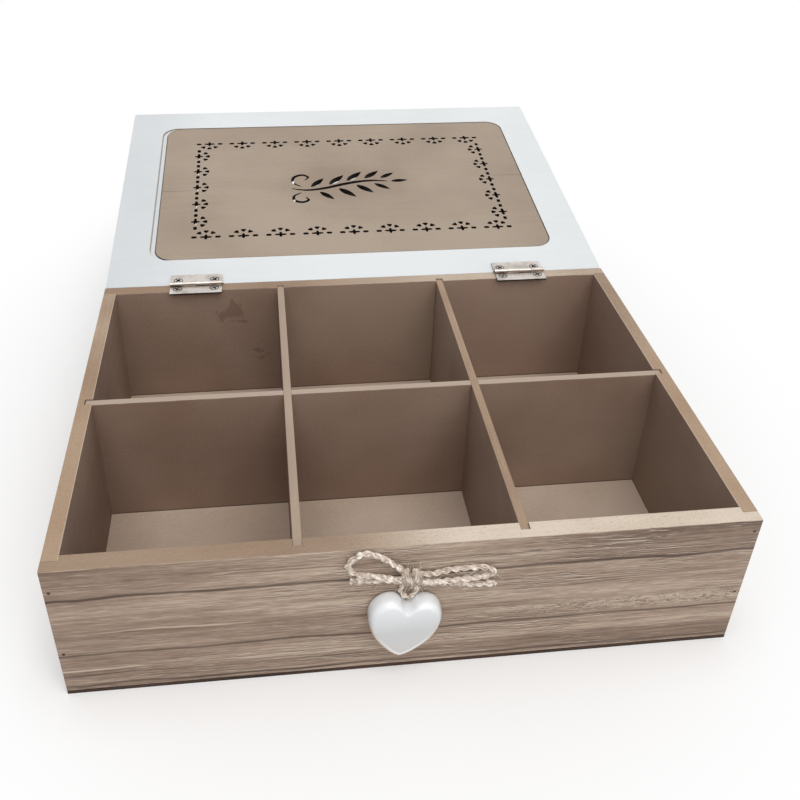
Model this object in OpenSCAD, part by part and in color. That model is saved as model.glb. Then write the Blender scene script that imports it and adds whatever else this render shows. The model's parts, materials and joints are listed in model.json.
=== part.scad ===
// Hinged wooden tea bag organizer box: six compartments, a framed lid with a
// pierced infill panel, two small butt hinges, and a glazed heart with a twine bow.
// Millimetres. X is the width, Y runs from the front to the back, Z is up.
// The origin is the centre of the base board's underside.
// The lid is drawn open, leaning on the arris at the back of the box.

/* [Box] */
// Outside width of the box
box_w = 240; // [200:1:320]
// Outside depth of the box, front face to back face
box_d = 176; // [150:1:240]
// Height of the four walls above the base board
wall_h = 58.8; // [50:0.1:90]
// Thickness of the front panel
front_t = 6.8; // [6:0.1:9]
// Thickness of the back panel
back_t = 5.8; // [5.6:0.1:9]
// Thickness of each side panel
side_t = 5.5; // [5:0.1:8]
// Thickness of the base board
base_t = 1.8; // [1.5:0.1:4]

/* [Joinery] */
// Depth of the rabbet in the front panel that takes a side panel's end
front_rabbet = 2.5; // [0.5:0.1:3]
// Depth of the rabbet in the back panel that takes a side panel's end
back_rabbet = 1.0; // [0.5:0.1:3]
// Depth of the divider grooves in the front panel
groove_front = 3.2; // [1:0.1:4]
// Depth of the divider grooves in the back panel
groove_back = 2.3; // [1:0.1:3]
// Depth of the divider groove in each side panel
groove_side = 3.0; // [1:0.1:3.5]
// How much wider than the divider each groove is
groove_play = 0.3; // [0.1:0.05:0.8]
// Gap between a divider's end and the bottom of its groove
groove_end_gap = 0.3; // [0.1:0.05:0.8]

/* [Dividers] */
// Thickness of the dividers
divider_t = 3.0; // [2:0.1:5]
// How far the dividers' top edges lie below the rim
divider_drop = 0.6; // [0.2:0.1:6]
// Middle of the left divider, from the box's middle
left_divider_x = -38.4; // [-60:0.1:-20]
// Middle of the right divider, from the box's middle
right_divider_x = 37.9; // [20:0.1:60]
// Middle of the cross divider, from the box's middle
cross_divider_y = 0; // [-20:0.1:20]
// How much wider than the divider each halving slot is
lap_play = 0.2; // [0.1:0.05:0.8]
// Gap left between the bottoms of two crossing slots
lap_gap = 0.4; // [0.1:0.1:2]

/* [Lid] */
// Thickness of the lid's frame board
lid_t = 7.0; // [6.5:0.1:12]
// How far each side edge of the lid stands in from the box's side
lid_side_setback = 0.3; // [0:0.1:3]
// How far the closed lid's front edge stands in from the box's front face
lid_front_setback = 0.1; // [0:0.1:3]
// Width of the frame at each side of the panel's recess
lid_border_side = 18.4; // [12:0.1:30]
// Width of the frame along the hinged edge
lid_border_rear = 20.4; // [14:0.1:30]
// Width of the frame along the free edge
lid_border_front = 19.0; // [12:0.1:30]
// Width of the ledge that the panel is glued to
lid_ledge = 5.0; // [3:0.1:8]
// Corner radius of the recess
recess_r = 9.0; // [6:0.1:20]
// Radius of the lid's own corners, seen from above
lid_corner_r = 1.6; // [0.5:0.1:6]
// Angle from the lid lying flat on the rim to fully open
open_angle = 173; // [165:0.5:179]
// Gap left between the fully open lid and the arris it leans on
stop_gap = 0.1; // [0.05:0.05:0.5]

/* [Pierced panel] */
// Thickness of the panel
panel_t = 3.0; // [2:0.1:4]
// How far the panel's face lies below the frame's inner face
panel_sink = 0.2; // [0:0.1:1]
// Total play between the panel's sides and the recess
panel_side_play = 2.8; // [0.4:0.1:5]
// How far the panel is set to the right of the recess's middle
panel_shift = 1.1; // [-2:0.1:2]
// Depth of the shallow step beside the panel
step_depth = 0.6; // [0.2:0.1:2]
// Total play between the panel's ends and the recess
panel_end_play = 0.6; // [0.4:0.1:3]
// Corner radius of the panel
panel_r = 8.5; // [6:0.1:20]

/* [Border pattern] */
// Distance between neighbouring flowers in the long rows
row_pitch = 18.85; // [16:0.05:24]
// Number of flowers in each long row
row_count = 9; // [3:1:9]
// Distance between neighbouring flowers in the short rows
column_pitch = 16.8; // [16:0.05:24]
// Number of flowers in each short row
column_count = 5; // [1:1:5]
// Distance from the panel's edge to the middle line of the long rows
row_inset = 19.0; // [14:0.1:24]
// Distance from the panel's edge to the middle line of the short rows
column_inset = 18.8; // [14:0.1:24]
// Length of one petal
petal_l = 2.5; // [1.5:0.1:3.2]
// Width of one petal
petal_w = 2.9; // [1:0.1:3]
// Distance from a flower's middle to the middles of its petals
petal_reach = 4.9; // [4:0.1:6]
// Angle between neighbouring petals
petal_turn = 43; // [36:1:60]
// Length of the dash at each end of a flower
dash_l = 2.8; // [1.5:0.1:3]
// Width of the dashes
dash_w = 1.9; // [0.6:0.1:2]
// Length of a flower's cross bar, along its row
bar_l = 6.0; // [4:0.1:7]
// Width of a flower's cross bar
bar_w = 1.6; // [0.6:0.1:2]
// Length of a flower's bud, across its row
bud_l = 4.6; // [2:0.1:5]
// Width of a flower's bud
bud_w = 1.4; // [0.6:0.1:2]
// Gap between a flower's cross bar and its dashes
dash_gap = 1.6; // [0.8:0.1:2.5]

/* [Tea sprig] */
// Length of the pierced sprig in the middle of the panel
sprig_l = 58; // [40:1:70]
// Widest part of the sprig's stem
stem_w = 2.4; // [1:0.1:3.4]
// Length of the largest leaves
leaf_l = 13; // [9:0.5:16]
// Width of the largest leaves
leaf_w = 4.0; // [2:0.1:5.6]

/* [Hinges] */
// Distance from the box's side faces to the middle of each hinge
hinge_end = 42.2; // [30:0.1:70]
// Length of a hinge along its pin
hinge_l = 24.0; // [20:0.1:40]
// Width of a leaf, from the pin's axis to its edge
leaf_reach = 7.8; // [7:0.1:12]
// Thickness of the leaves
leaf_t = 0.8; // [0.5:0.05:1]
// Outside diameter of the knuckles
knuckle_d = 2.4; // [2.2:0.1:3]
// Number of knuckles on a hinge, both leaves together
knuckle_count = 4; // [2:1:6]
// Gap between neighbouring knuckles
knuckle_gap = 0.15; // [0.05:0.05:0.4]
// Gap between the knuckles and the wood
knuckle_lift = 0.1; // [0.05:0.05:0.4]
// Gap between a leaf's notch and the other leaf's knuckle
notch_gap = 0.25; // [0.1:0.05:0.5]
// Diameter of the hinge pin
pin_d = 1.2; // [0.8:0.05:1.3]
// Difference between the bore's and the pin's diameters
pin_play = 0.1; // [0.04:0.02:0.2]
// How far the pin stands out of the right-hand knuckle
pin_overhang = 0.8; // [0.2:0.1:2]
// Distance of the pin's axis in front of the box's back face
hinge_inset = 1.2; // [0.8:0.1:2]
// Distance between the two screws of a leaf
screw_pitch = 17; // [10:0.1:18]
// Distance from the pin's axis to the screws
screw_offset = 3.6; // [3.2:0.1:3.6]

/* [Screws and brads] */
// Diameter of a screw's head
screw_head_d = 3.9; // [2.6:0.1:4]
// Diameter of a screw's shank
screw_shank_d = 1.3; // [1:0.1:1.6]
// Length of a screw under the leaf's face
screw_l = 5.6; // [4:0.1:6]
// How far a screw's head stands proud of the leaf
screw_proud = 0.15; // [0.05:0.05:0.25]
// Length of the cross in a screw's head
driver_l = 2.8; // [1.6:0.1:3]
// Depth of the cross in a screw's head
cross_depth = 0.45; // [0.2:0.05:0.6]
// Width of the cross in a screw's head
cross_w = 0.9; // [0.3:0.05:1]
// Difference between the diameters of a screw or brad and its hole
fastener_play = 0.1; // [0.04:0.02:0.2]
// Diameter of a brad's head
brad_head_d = 1.1; // [1:0.1:2]
// Thickness of a brad's head
brad_head_t = 0.5; // [0.3:0.1:1]
// Diameter of a brad's shank
brad_d = 0.8; // [0.6:0.1:1.2]
// Length of the corner brads
brad_l = 16; // [12:0.5:25]
// Distance of the corner brads from the box's side faces
brad_inset = 1.8; // [1.6:0.1:3]
// Height of the lower brad at the left corners, above the base board
left_brad_z = 19; // [12:0.5:30]
// Height of the lower brad at the right corners, above the base board
right_brad_z = 23.5; // [12:0.5:30]
// Distance from the lower to the upper brad of a corner
brad_rise = 30; // [15:0.5:32]
// Length of the brads in the base board
base_brad_l = 12; // [8:0.5:20]
// How far the base board's brads are punched in
base_brad_sink = 0.2; // [0.1:0.05:0.5]
// Distance of the front and back rows' outermost base brads from the box's sides
base_brad_end = 20; // [15:1:40]
// Distance of the side rows' base brads from the box's front and back faces
side_brad_end = 32; // [20:1:50]

/* [Heart] */
// Width of the glazed heart
heart_w = 25.4; // [20:0.1:34]
// Height of the glazed heart
heart_h = 26.8; // [22:0.1:34]
// Thickness of the glazed heart
heart_t = 7.5; // [5:0.1:12]
// How far the heart leans to the right
heart_lean = 7; // [-15:0.5:15]
// Middle of the heart, from the box's middle
heart_x = -3.5; // [-20:0.1:20]
// Height of the heart's middle above the base board
heart_z = 24.5; // [18:0.1:28]

/* [Twine] */
// Diameter of the jute twine
twine_d = 2.2; // [1.5:0.1:2.6]
// Middle of the bow's knot, from the box's middle
knot_x = -1.4; // [-20:0.1:20]
// Height of the bow's knot above the base board
knot_z = 46.8; // [44:0.1:48]
// Width of the knot
knot_w = 6.6; // [4:0.1:8]
// Height of the knot
knot_h = 5.8; // [4:0.1:8]
// How far the knot stands out of the front panel
knot_t = 5.2; // [4:0.1:8]

/* [Hidden] */
$fn = 48;

// Faces and levels of the box
front_y = -box_d / 2;
back_y = box_d / 2;
wall_z = base_t;
rim_z = base_t + wall_h;
inner_w = box_w - 2 * side_t;
side_front_y = front_y + front_t - front_rabbet;
side_back_y = back_y - back_t + back_rabbet;

// Dividers
groove_w = divider_t + groove_play;
lap_w = divider_t + lap_play;
divider_h = wall_h - divider_drop;
long_front_y = front_y + front_t - groove_front + groove_end_gap;
long_back_y = back_y - back_t + groove_back - groove_end_gap;
cross_l = inner_w + 2 * (groove_side - groove_end_gap);
divider_xs = [left_divider_x, right_divider_x];

// Hinge geometry: the pin's axis and the open lid's own frame
axis_h = knuckle_d / 2 + knuckle_lift;
axis_y = back_y - hinge_inset;
axis_z = rim_z + axis_h;
lean = 180 - open_angle;
lid_rear = hinge_inset * cos(lean) - axis_h * sin(lean) + stop_gap;
lid_reach = axis_y - front_y - lid_front_setback;
lid_d = lid_reach - lid_rear;
lid_w = box_w - 2 * lid_side_setback;

// Recess, window and panel, in the lid's frame: x across, y away from the pin
recess_w = lid_w - 2 * lid_border_side;
recess_d = lid_d - lid_border_rear - lid_border_front;
recess_y = lid_rear + lid_border_rear + recess_d / 2;
recess_depth = panel_t + panel_sink;
panel_w = recess_w - panel_side_play;
panel_d = recess_d - panel_end_play;
row_y = panel_d / 2 - row_inset;
column_x = panel_w / 2 - column_inset;

// Hinge pieces
knuckle_l = (hinge_l - (knuckle_count - 1) * knuckle_gap) / knuckle_count;
bore_d = pin_d + pin_play;
head_cone = leaf_t;
hinge_x = box_w / 2 - hinge_end;

// Fasteners: one list of [x, z] for the brads of the corners
brad_x = box_w / 2 - brad_inset;
corner_brad_xz = [for (s = [-1, 1], k = [0, 1])
  [s * brad_x, wall_z + (s < 0 ? left_brad_z : right_brad_z) + k * brad_rise]];
// and one of [x, y] for the brads of the base board, in the wood outside the grooves
base_span_x = box_w / 2 - base_brad_end;
base_span_y = box_d / 2 - side_brad_end;
base_front_y = front_y + (front_t - groove_front) / 2;
base_back_y = back_y - (back_t - groove_back) / 2;
base_side_x = box_w / 2 - (side_t - groove_side) / 2;
base_brad_xy = concat(
  [for (y = [base_front_y, base_back_y], i = [0 : 3]) [-base_span_x + i * 2 * base_span_x / 3, y]],
  [for (s = [-1, 1], k = [-1, 1]) [s * base_side_x, k * base_span_y]]);

// Twine bow: points [x, z, y] from the knot's middle, in half millimetres; y is the
// distance out of the front panel in twine diameters. Strands end at the knot's surface
left_loop_pts = [[-3, 3, 0.9], [-7.5, 7, 0.7], [-11, 9.5, 0.6], [-15, 11, 0.6], [-19, 9.5, 0.6],
  [-21, 6, 0.8], [-18.5, 3.5, 1.2], [-13, 2.5, 1.5], [-8, 1.5, 1.7], [-3.5, 0.5, 1.9]];
right_loop_pts = [[4, 0.5, 1], [7.5, -0.5, 0.7], [12, 0.5, 0.6], [18, 1, 0.6], [24.5, 1, 0.7],
  [28, -0.5, 1], [25.5, -1.5, 1.4], [18, -2, 1.5], [10, -2, 1.7], [3.5, -1, 2]];
left_tail_pts = [[-3.5, -2, 1], [-9, -1.5, 0.7], [-14, -1.5, 0.7], [-20, -1, 0.7]];
right_tail_pts = [[3.5, -3, 1.1], [6, -4.5, 0.7], [10, -5, 0.6], [16, -6, 0.6], [22, -7, 0.6],
  [29.5, -7.5, 0.6]];
hanger_pts = [[-1.5, -3.5, 0.6], [-3, -6, 0.6], [-3, -8.5, 0.6], [-1.5, -10.5, 0.6], [-0.5, -11, 0.6],
  [0.5, -10.5, 0.6], [2, -8.5, 0.6], [2.5, -6.5, 0.6], [1, -3.5, 0.6]];
strand_steps = 3;
strand_sides = 8;

// Turns of the screws' crosses in the box leaves and in the lid leaves
box_screw_turn = 25;
lid_screw_turn = 40;
// Share of a screw head's diameter that its raised top keeps
head_top = 0.8;

// Smooth curve through a list of points, n steps a span
function spline_at(p0, p1, p2, p3, t) =
  0.5 * ((2 * p1) + (p2 - p0) * t + (2 * p0 - 5 * p1 + 4 * p2 - p3) * t * t
  + (3 * p1 - p0 - 3 * p2 + p3) * t * t * t);
function spline(p, n) = let (m = len(p) - 1)
  concat([for (i = [0 : m - 1], k = [0 : n - 1])
    spline_at(p[max(i - 1, 0)], p[i], p[i + 1], p[min(i + 2, m)], k / n)], [p[m]]);
function unit(v) = v / norm(v);
function way(p, i) = unit(p[min(i + 1, len(p) - 1)] - p[max(i - 1, 0)]);

// Round tube along points that lie close to the XZ plane
module tube(p, d, sides) {
  n = len(p);
  rings = [for (i = [0 : n - 1]) let (t = way(p, i), u = unit(cross(t, [0, 1, 0])), v = cross(t, u))
    for (k = [0 : sides - 1]) p[i] + d / 2 * (cos(k * 360 / sides) * u + sin(k * 360 / sides) * v)];
  walls = [for (i = [0 : n - 2], k = [0 : sides - 1])
    [i * sides + k, (i + 1) * sides + k, (i + 1) * sides + (k + 1) % sides, i * sides + (k + 1) % sides]];
  first_cap = [[for (k = [0 : sides - 1]) k]];
  last_cap = [[for (k = [sides - 1 : -1 : 0]) (n - 1) * sides + k]];
  polyhedron(points = rings, faces = concat(walls, first_cap, last_cap), convexity = 6);
}

// Twine strand: points from the knot's middle, laid against the front panel
module strand(p) {
  path = [for (q = p) [knot_x + q[0], front_y - q[2] * twine_d, wall_z + knot_z + q[1]]];
  tube(spline(path, strand_steps), twine_d, strand_sides);
}

// Box of the given size, centred in X and Y, standing on its own Z
module block(x0, x1, y0, y1, z0, z1) {
  translate([x0, y0, z0]) cube([x1 - x0, y1 - y0, z1 - z0]);
}

// Rounded rectangle, centred
module round_rect(w, d, r) {
  union() {
    square([w - 2 * r, d], center = true);
    square([w, d - 2 * r], center = true);
    for (i = [-1, 1], j = [-1, 1]) translate([i * (w / 2 - r), j * (d / 2 - r)]) circle(r);
  }
}

// The open lid's frame: X across, Y away from the pin, Z out of the lid's inner face
module lid_place() {
  translate([0, axis_y, axis_z]) rotate([lean, 0, 0]) children();
}

// ---- wooden panels ----

// Grooves for the long dividers, cut from a panel's inner face
module long_grooves(y0, y1) {
  for (x = divider_xs) block(x - groove_w / 2, x + groove_w / 2, y0, y1, wall_z - 1, rim_z + 1);
}

module front_panel() {
  color([0.61, 0.53, 0.46]) difference() {
    block(-box_w / 2, box_w / 2, front_y, front_y + front_t, wall_z, rim_z);
    for (s = [-1, 1])
      block(s < 0 ? -box_w / 2 - 1 : box_w / 2 - side_t, s < 0 ? side_t - box_w / 2 : box_w / 2 + 1,
        side_front_y, front_y + front_t + 1, wall_z - 1, rim_z + 1);
    long_grooves(front_y + front_t - groove_front, front_y + front_t + 1);
    corner_brad_holes();
    base_brad_holes();
  }
}

module back_panel() {
  color([0.42, 0.35, 0.30]) difference() {
    block(-box_w / 2, box_w / 2, back_y - back_t, back_y, wall_z, rim_z);
    for (s = [-1, 1])
      block(s < 0 ? -box_w / 2 - 1 : box_w / 2 - side_t, s < 0 ? side_t - box_w / 2 : box_w / 2 + 1,
        back_y - back_t - 1, side_back_y, wall_z - 1, rim_z + 1);
    long_grooves(back_y - back_t - 1, back_y - back_t + groove_back);
    corner_brad_holes();
    base_brad_holes();
    for (s = [-1, 1]) box_screws_at(s * hinge_x, fastener_play, false);
  }
}

module side_panel(s) {
  x0 = s < 0 ? -box_w / 2 : box_w / 2 - side_t;
  g0 = s < 0 ? side_t - box_w / 2 - groove_side : box_w / 2 - side_t - 1;
  difference() {
    block(x0, x0 + side_t, side_front_y, side_back_y, wall_z, rim_z);
    block(g0, g0 + groove_side + 1, cross_divider_y - groove_w / 2, cross_divider_y + groove_w / 2,
      wall_z - 1, rim_z + 1);
    corner_brad_holes();
    base_brad_holes();
  }
}

module left_side_panel() { color([0.42, 0.35, 0.30]) side_panel(-1); }
module right_side_panel() { color([0.42, 0.35, 0.30]) side_panel(1); }

module base_board() {
  color([0.60, 0.52, 0.46]) difference() {
    block(-box_w / 2, box_w / 2, front_y, back_y, 0, base_t);
    base_brad_holes();
  }
}

// ---- dividers, halved into each other ----

// A long divider runs from front to back, with its slot open at the bottom
module long_divider(x) {
  color([0.36, 0.29, 0.25]) difference() {
    block(x - divider_t / 2, x + divider_t / 2, long_front_y, long_back_y, wall_z, wall_z + divider_h);
    block(x - divider_t, x + divider_t, cross_divider_y - lap_w / 2, cross_divider_y + lap_w / 2,
      wall_z - 1, wall_z + divider_h / 2 + lap_gap / 2);
  }
}

module left_divider() { long_divider(left_divider_x); }
module right_divider() { long_divider(right_divider_x); }

// The cross divider runs from side to side, with its slots open at the top
module cross_divider() {
  color([0.36, 0.29, 0.25]) difference() {
    block(-cross_l / 2, cross_l / 2, cross_divider_y - divider_t / 2, cross_divider_y + divider_t / 2,
      wall_z, wall_z + divider_h);
    for (x = divider_xs)
      block(x - lap_w / 2, x + lap_w / 2, cross_divider_y - divider_t, cross_divider_y + divider_t,
        wall_z + divider_h / 2 - lap_gap / 2, rim_z + 1);
  }
}

// ---- fasteners ----

// A brad along +Z from its head's outer face at Z = 0; p widens it into its hole
module brad(l, p) {
  cylinder(d = brad_head_d + p, h = brad_head_t + p);
  cylinder(d = brad_d + p, h = l + p);
}

module corner_brads_at(p) {
  for (q = corner_brad_xz) {
    translate([q[0], front_y - p, q[1]]) rotate([-90, 0, 0]) brad(brad_l + p, p);
    translate([q[0], back_y + p, q[1]]) rotate([90, 0, 0]) brad(brad_l + p, p);
  }
}

module corner_brad_holes() { corner_brads_at(fastener_play); }
module corner_brads() { color([0.30, 0.27, 0.24]) corner_brads_at(0); }

module base_brads_at(p, z) {
  for (q = base_brad_xy) translate([q[0], q[1], z]) brad(base_brad_l + base_brad_sink - z, p);
}

module base_brad_holes() {
  base_brads_at(fastener_play, base_brad_sink);
  for (q = base_brad_xy) translate([q[0], q[1], -1])
    cylinder(d = brad_head_d + fastener_play, h = 1 + base_brad_sink + 0.01);
}
module base_brads() { color([0.30, 0.27, 0.24]) base_brads_at(0, base_brad_sink); }

// A countersunk screw pointing down from a leaf's face at Z = 0
module screw(p, crossed) {
  difference() {
    union() {
      translate([0, 0, -head_cone]) cylinder(d1 = screw_shank_d + p, d2 = screw_head_d + p, h = head_cone);
      cylinder(d1 = screw_head_d + p, d2 = (screw_head_d + p) * head_top, h = screw_proud + p);
      translate([0, 0, -screw_l - p]) cylinder(d = screw_shank_d + p, h = screw_l + p);
    }
    if (crossed) for (a = [0, 90]) rotate([0, 0, a])
      translate([-driver_l / 2, -cross_w / 2, -cross_depth]) cube([driver_l, cross_w, 2]);
  }
}

// The screws of a box leaf, and of a lid leaf in the lid's own frame
module box_screws_at(x, p, crossed) {
  for (k = [-1, 1]) translate([x + k * screw_pitch / 2, axis_y - screw_offset, rim_z + leaf_t])
    rotate([0, 0, k * box_screw_turn]) screw(p, crossed);
}
module lid_screws_at(x, p, crossed) {
  for (k = [-1, 1]) translate([x + k * screw_pitch / 2, screw_offset, leaf_t - axis_h])
    rotate([0, 0, k * lid_screw_turn]) screw(p, crossed);
}

// ---- hinges ----

// One leaf about its pin's axis at the origin; the plate runs towards +Y under the
// axis, and first is the number of its first knuckle, 0 or 1
module leaf(first) {
  pitch = knuckle_l + knuckle_gap;
  notch = knuckle_d / 2 + notch_gap;
  difference() {
    union() {
      translate([-hinge_l / 2, notch, -axis_h]) cube([hinge_l, leaf_reach - notch, leaf_t]);
      for (i = [first : 2 : knuckle_count - 1]) translate([-hinge_l / 2 + i * pitch, 0, 0]) {
        rotate([0, 90, 0]) cylinder(d = knuckle_d, h = knuckle_l);
        translate([0, 0, -axis_h]) cube([knuckle_l, notch + 0.1, leaf_t]);
      }
    }
    rotate([0, 90, 0]) cylinder(d = bore_d, h = hinge_l + 2, center = true);
  }
}

module box_leaf(x) {
  difference() {
    translate([x, axis_y, axis_z]) mirror([0, 1, 0]) leaf(1);
    box_screws_at(x, fastener_play, false);
  }
}

module lid_leaf(x) {
  lid_place() difference() {
    translate([x, 0, 0]) leaf(0);
    lid_screws_at(x, fastener_play, false);
  }
}

module hinge_pin(x) {
  translate([x - hinge_l / 2, axis_y, axis_z]) rotate([0, 90, 0])
    cylinder(d = pin_d, h = hinge_l + pin_overhang);
}

module left_hinge_box_leaf() { color([0.74, 0.71, 0.67]) box_leaf(-hinge_x); }
module right_hinge_box_leaf() { color([0.74, 0.71, 0.67]) box_leaf(hinge_x); }
module left_hinge_lid_leaf() { color([0.74, 0.71, 0.67]) lid_leaf(-hinge_x); }
module right_hinge_lid_leaf() { color([0.74, 0.71, 0.67]) lid_leaf(hinge_x); }
module left_hinge_pin() { color([0.70, 0.67, 0.63]) hinge_pin(-hinge_x); }
module right_hinge_pin() { color([0.70, 0.67, 0.63]) hinge_pin(hinge_x); }
module left_hinge_box_screws() { color([0.66, 0.62, 0.57]) box_screws_at(-hinge_x, 0, true); }
module right_hinge_box_screws() { color([0.66, 0.62, 0.57]) box_screws_at(hinge_x, 0, true); }
module left_hinge_lid_screws() { color([0.66, 0.62, 0.57]) lid_place() lid_screws_at(-hinge_x, 0, true); }
module right_hinge_lid_screws() { color([0.66, 0.62, 0.57]) lid_place() lid_screws_at(hinge_x, 0, true); }

// ---- lid ----

module lid_frame() {
  color([0.88, 0.89, 0.90]) lid_place() difference() {
    translate([0, lid_rear + lid_d / 2, -axis_h - lid_t])
      linear_extrude(height = lid_t) round_rect(lid_w, lid_d, lid_corner_r);
    translate([0, recess_y, -axis_h - step_depth])
      linear_extrude(height = step_depth + 1) round_rect(recess_w, recess_d, recess_r);
    translate([panel_shift, recess_y, -axis_h - recess_depth])
      linear_extrude(height = recess_depth + 1) round_rect(panel_w + panel_end_play, recess_d, recess_r);
    translate([0, recess_y, -axis_h - lid_t - 1])
      linear_extrude(height = lid_t + 1)
        round_rect(recess_w - 2 * lid_ledge, recess_d - 2 * lid_ledge, recess_r - lid_ledge);
    for (s = [-1, 1]) lid_screws_at(s * hinge_x, fastener_play, false);
  }
}

// Wedge-shaped petal along +Y, its narrow end first, from its own middle
module petal(l, w) {
  side = [[0.14, -0.5], [0.44, 0.1], [0.5, 0.28], [0.34, 0.45]];
  polygon(concat(
    [for (q = side) [w * q[0], l * q[1]]], [[0, l / 2]],
    [for (i = [len(side) - 1 : -1 : 0]) [-w * side[i][0], l * side[i][1]]]));
}

// Blunt-ended bar along X
module bar(l, w) {
  polygon([[-l / 2, -w / 4], [-l * 0.32, -w / 2], [l * 0.32, -w / 2], [l / 2, -w / 4],
    [l / 2, w / 4], [l * 0.32, w / 2], [-l * 0.32, w / 2], [-l / 2, w / 4]]);
}

// Half flower: a cross bar with a bud, a dash at each end and three petals towards +Y
module half_flower() {
  bar(bar_l, bar_w);
  rotate(90) bar(bud_l, bud_w);
  for (s = [-1, 1]) translate([s * ((bar_l + dash_l) / 2 + dash_gap), 0]) bar(dash_l, dash_w);
  for (a = [-petal_turn, 0, petal_turn]) rotate(a) translate([0, petal_reach]) petal(petal_l, petal_w);
}

// Border of half flowers, their petals turned to the panel's middle
module border() {
  for (s = [-1, 1]) {
    for (i = [0 : row_count - 1]) translate([(i - (row_count - 1) / 2) * row_pitch, s * row_y])
      rotate(s > 0 ? 180 : 0) half_flower();
    for (i = [0 : column_count - 1]) translate([s * column_x, (i - (column_count - 1) / 2) * column_pitch])
      rotate(s > 0 ? 90 : -90) half_flower();
  }
}

// Leaf outline along +X from its stalk end
function leaf_half(w, u) = w / 2 * pow(sin(180 * pow(u, 0.85)), 0.9);
function leaf_outline(l, w, n) = concat(
  [for (i = [0 : n]) [l * i / n, leaf_half(w, i / n)]],
  [for (i = [n - 1 : -1 : 1]) [l * i / n, -leaf_half(w, i / n)]]);

// Brush stroke through 2D points, thin at both ends and w wide in the middle
module stroke(p, w, n) {
  c = spline(p, n);
  m = len(c) - 1;
  function edge(i, s) = let (t = way(c, i))
    c[i] + s * w / 2 * (stroke_end + (1 - stroke_end) * sin(180 * i / m)) * [-t[1], t[0]];
  polygon(concat([for (i = [0 : m]) edge(i, 1)], [for (i = [m : -1 : 0]) edge(i, -1)]));
}

// Tea sprig, drawn 58 mm long: a waved stem, two curls, and leaves clear of each other
sprig_stem = [[-30, -4], [-22, -6], [-12, -4.5], [-2, -1], [8, 1.5], [16, 2], [23, 1]];
upper_curl = [[-25, -2], [-29, 2], [-28.5, 7.5], [-24, 10], [-20.5, 7.5], [-22.5, 4.5]];
lower_curl = [[-25, -8.5], [-29, -11.5], [-29, -16], [-25, -18], [-21.5, -16], [-23, -13]];
// Leaves as [x, y, angle, share of the largest leaf]
sprig_leaves = [
  [-19.5, -3, 50, 0.9], [-9.5, -1, 48, 1], [0.5, 2.5, 46, 1], [10.5, 4.5, 42, 0.9], [19.5, 4.5, 34, 0.75],
  [-15, -8, -48, 0.85], [-4.5, -5, -46, 1], [5.5, -2, -44, 0.95], [15.5, -1, -38, 0.8], [25, 1, 4, 0.75]];
sprig_k = sprig_l / 58;
curl_w = stem_w * 0.8;
// Share of a stroke's width that is left at its ends
stroke_end = 0.28;

module sprig() {
  stroke(sprig_k * sprig_stem, stem_w, 4);
  for (c = [upper_curl, lower_curl]) stroke(sprig_k * c, curl_w, 5);
  for (q = sprig_leaves) translate(sprig_k * [q[0], q[1]]) rotate(q[2])
    polygon(leaf_outline(sprig_k * leaf_l * q[3], sprig_k * leaf_w * q[3], 9));
}

module lid_panel() {
  color([0.67, 0.60, 0.54]) lid_place()
    translate([panel_shift, recess_y, -axis_h - recess_depth])
      linear_extrude(height = panel_t) difference() {
        round_rect(panel_w, panel_d, panel_r);
        border();
        sprig();
      }
}

// ---- heart and twine ----

// Right half of the heart's outline from the notch to the tip, one unit wide and high
heart_half = [[0, 0.345], [0.05, 0.385], [0.13, 0.465], [0.235, 0.5], [0.35, 0.465], [0.445, 0.37],
  [0.495, 0.24], [0.49, 0.09], [0.435, -0.08], [0.335, -0.235], [0.2, -0.375], [0.09, -0.46], [0, -0.5]];
heart_side = spline(heart_half, 2);
heart_n = 2 * (len(heart_side) - 1);
function heart_pt(i) = i < len(heart_side) ? heart_side[i]
  : [-heart_side[heart_n - i][0], heart_side[heart_n - i][1]];

// Rings of the bevelled, gently domed heart: [scale of the outline, share of the thickness]
heart_rings = [[0.94, 0], [1, 0.14], [1, 0.46], [0.98, 0.68], [0.92, 0.86], [0.82, 0.945], [0.5, 0.99]];

module heart_ornament() {
  m = len(heart_rings);
  pts = concat(
    [for (r = heart_rings, i = [0 : heart_n - 1]) let (q = heart_pt(i))
      [heart_w * q[0] * r[0], -heart_t * r[1], heart_h * q[1] * r[0]]],
    [[0, 0, 0], [0, -heart_t, 0]]);
  walls = [for (j = [0 : m - 2], i = [0 : heart_n - 1]) each [
    [j * heart_n + i, j * heart_n + (i + 1) % heart_n, (j + 1) * heart_n + (i + 1) % heart_n],
    [j * heart_n + i, (j + 1) * heart_n + (i + 1) % heart_n, (j + 1) * heart_n + i]]];
  back = [for (i = [0 : heart_n - 1]) [m * heart_n, (i + 1) % heart_n, i]];
  face = [for (i = [0 : heart_n - 1])
    [m * heart_n + 1, (m - 1) * heart_n + i, (m - 1) * heart_n + (i + 1) % heart_n]];
  color([0.90, 0.91, 0.92]) translate([heart_x, front_y, wall_z + heart_z]) rotate([0, heart_lean, 0])
    polyhedron(points = pts, faces = concat(walls, back, face), convexity = 4);
}

// Knot: a flattened ball against the front panel
module twine_knot() {
  color([0.66, 0.57, 0.47]) translate([knot_x, front_y, wall_z + knot_z]) intersection() {
    rotate([90, 0, 0]) resize([knot_w, knot_h, 2 * knot_t]) sphere(d = knot_w, $fn = 24);
    translate([-knot_w, -2 * knot_t, -knot_h]) cube([2 * knot_w, 2 * knot_t, 2 * knot_h]);
  }
}

module twine_loops() {
  color([0.60, 0.50, 0.41]) union() {
    strand(left_loop_pts);
    strand(right_loop_pts);
  }
}

module twine_tails() {
  color([0.72, 0.63, 0.53]) union() {
    strand(left_tail_pts);
    strand(right_tail_pts);
  }
}

module twine_hanger() {
  color([0.62, 0.53, 0.44]) strand(hanger_pts);
}

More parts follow.
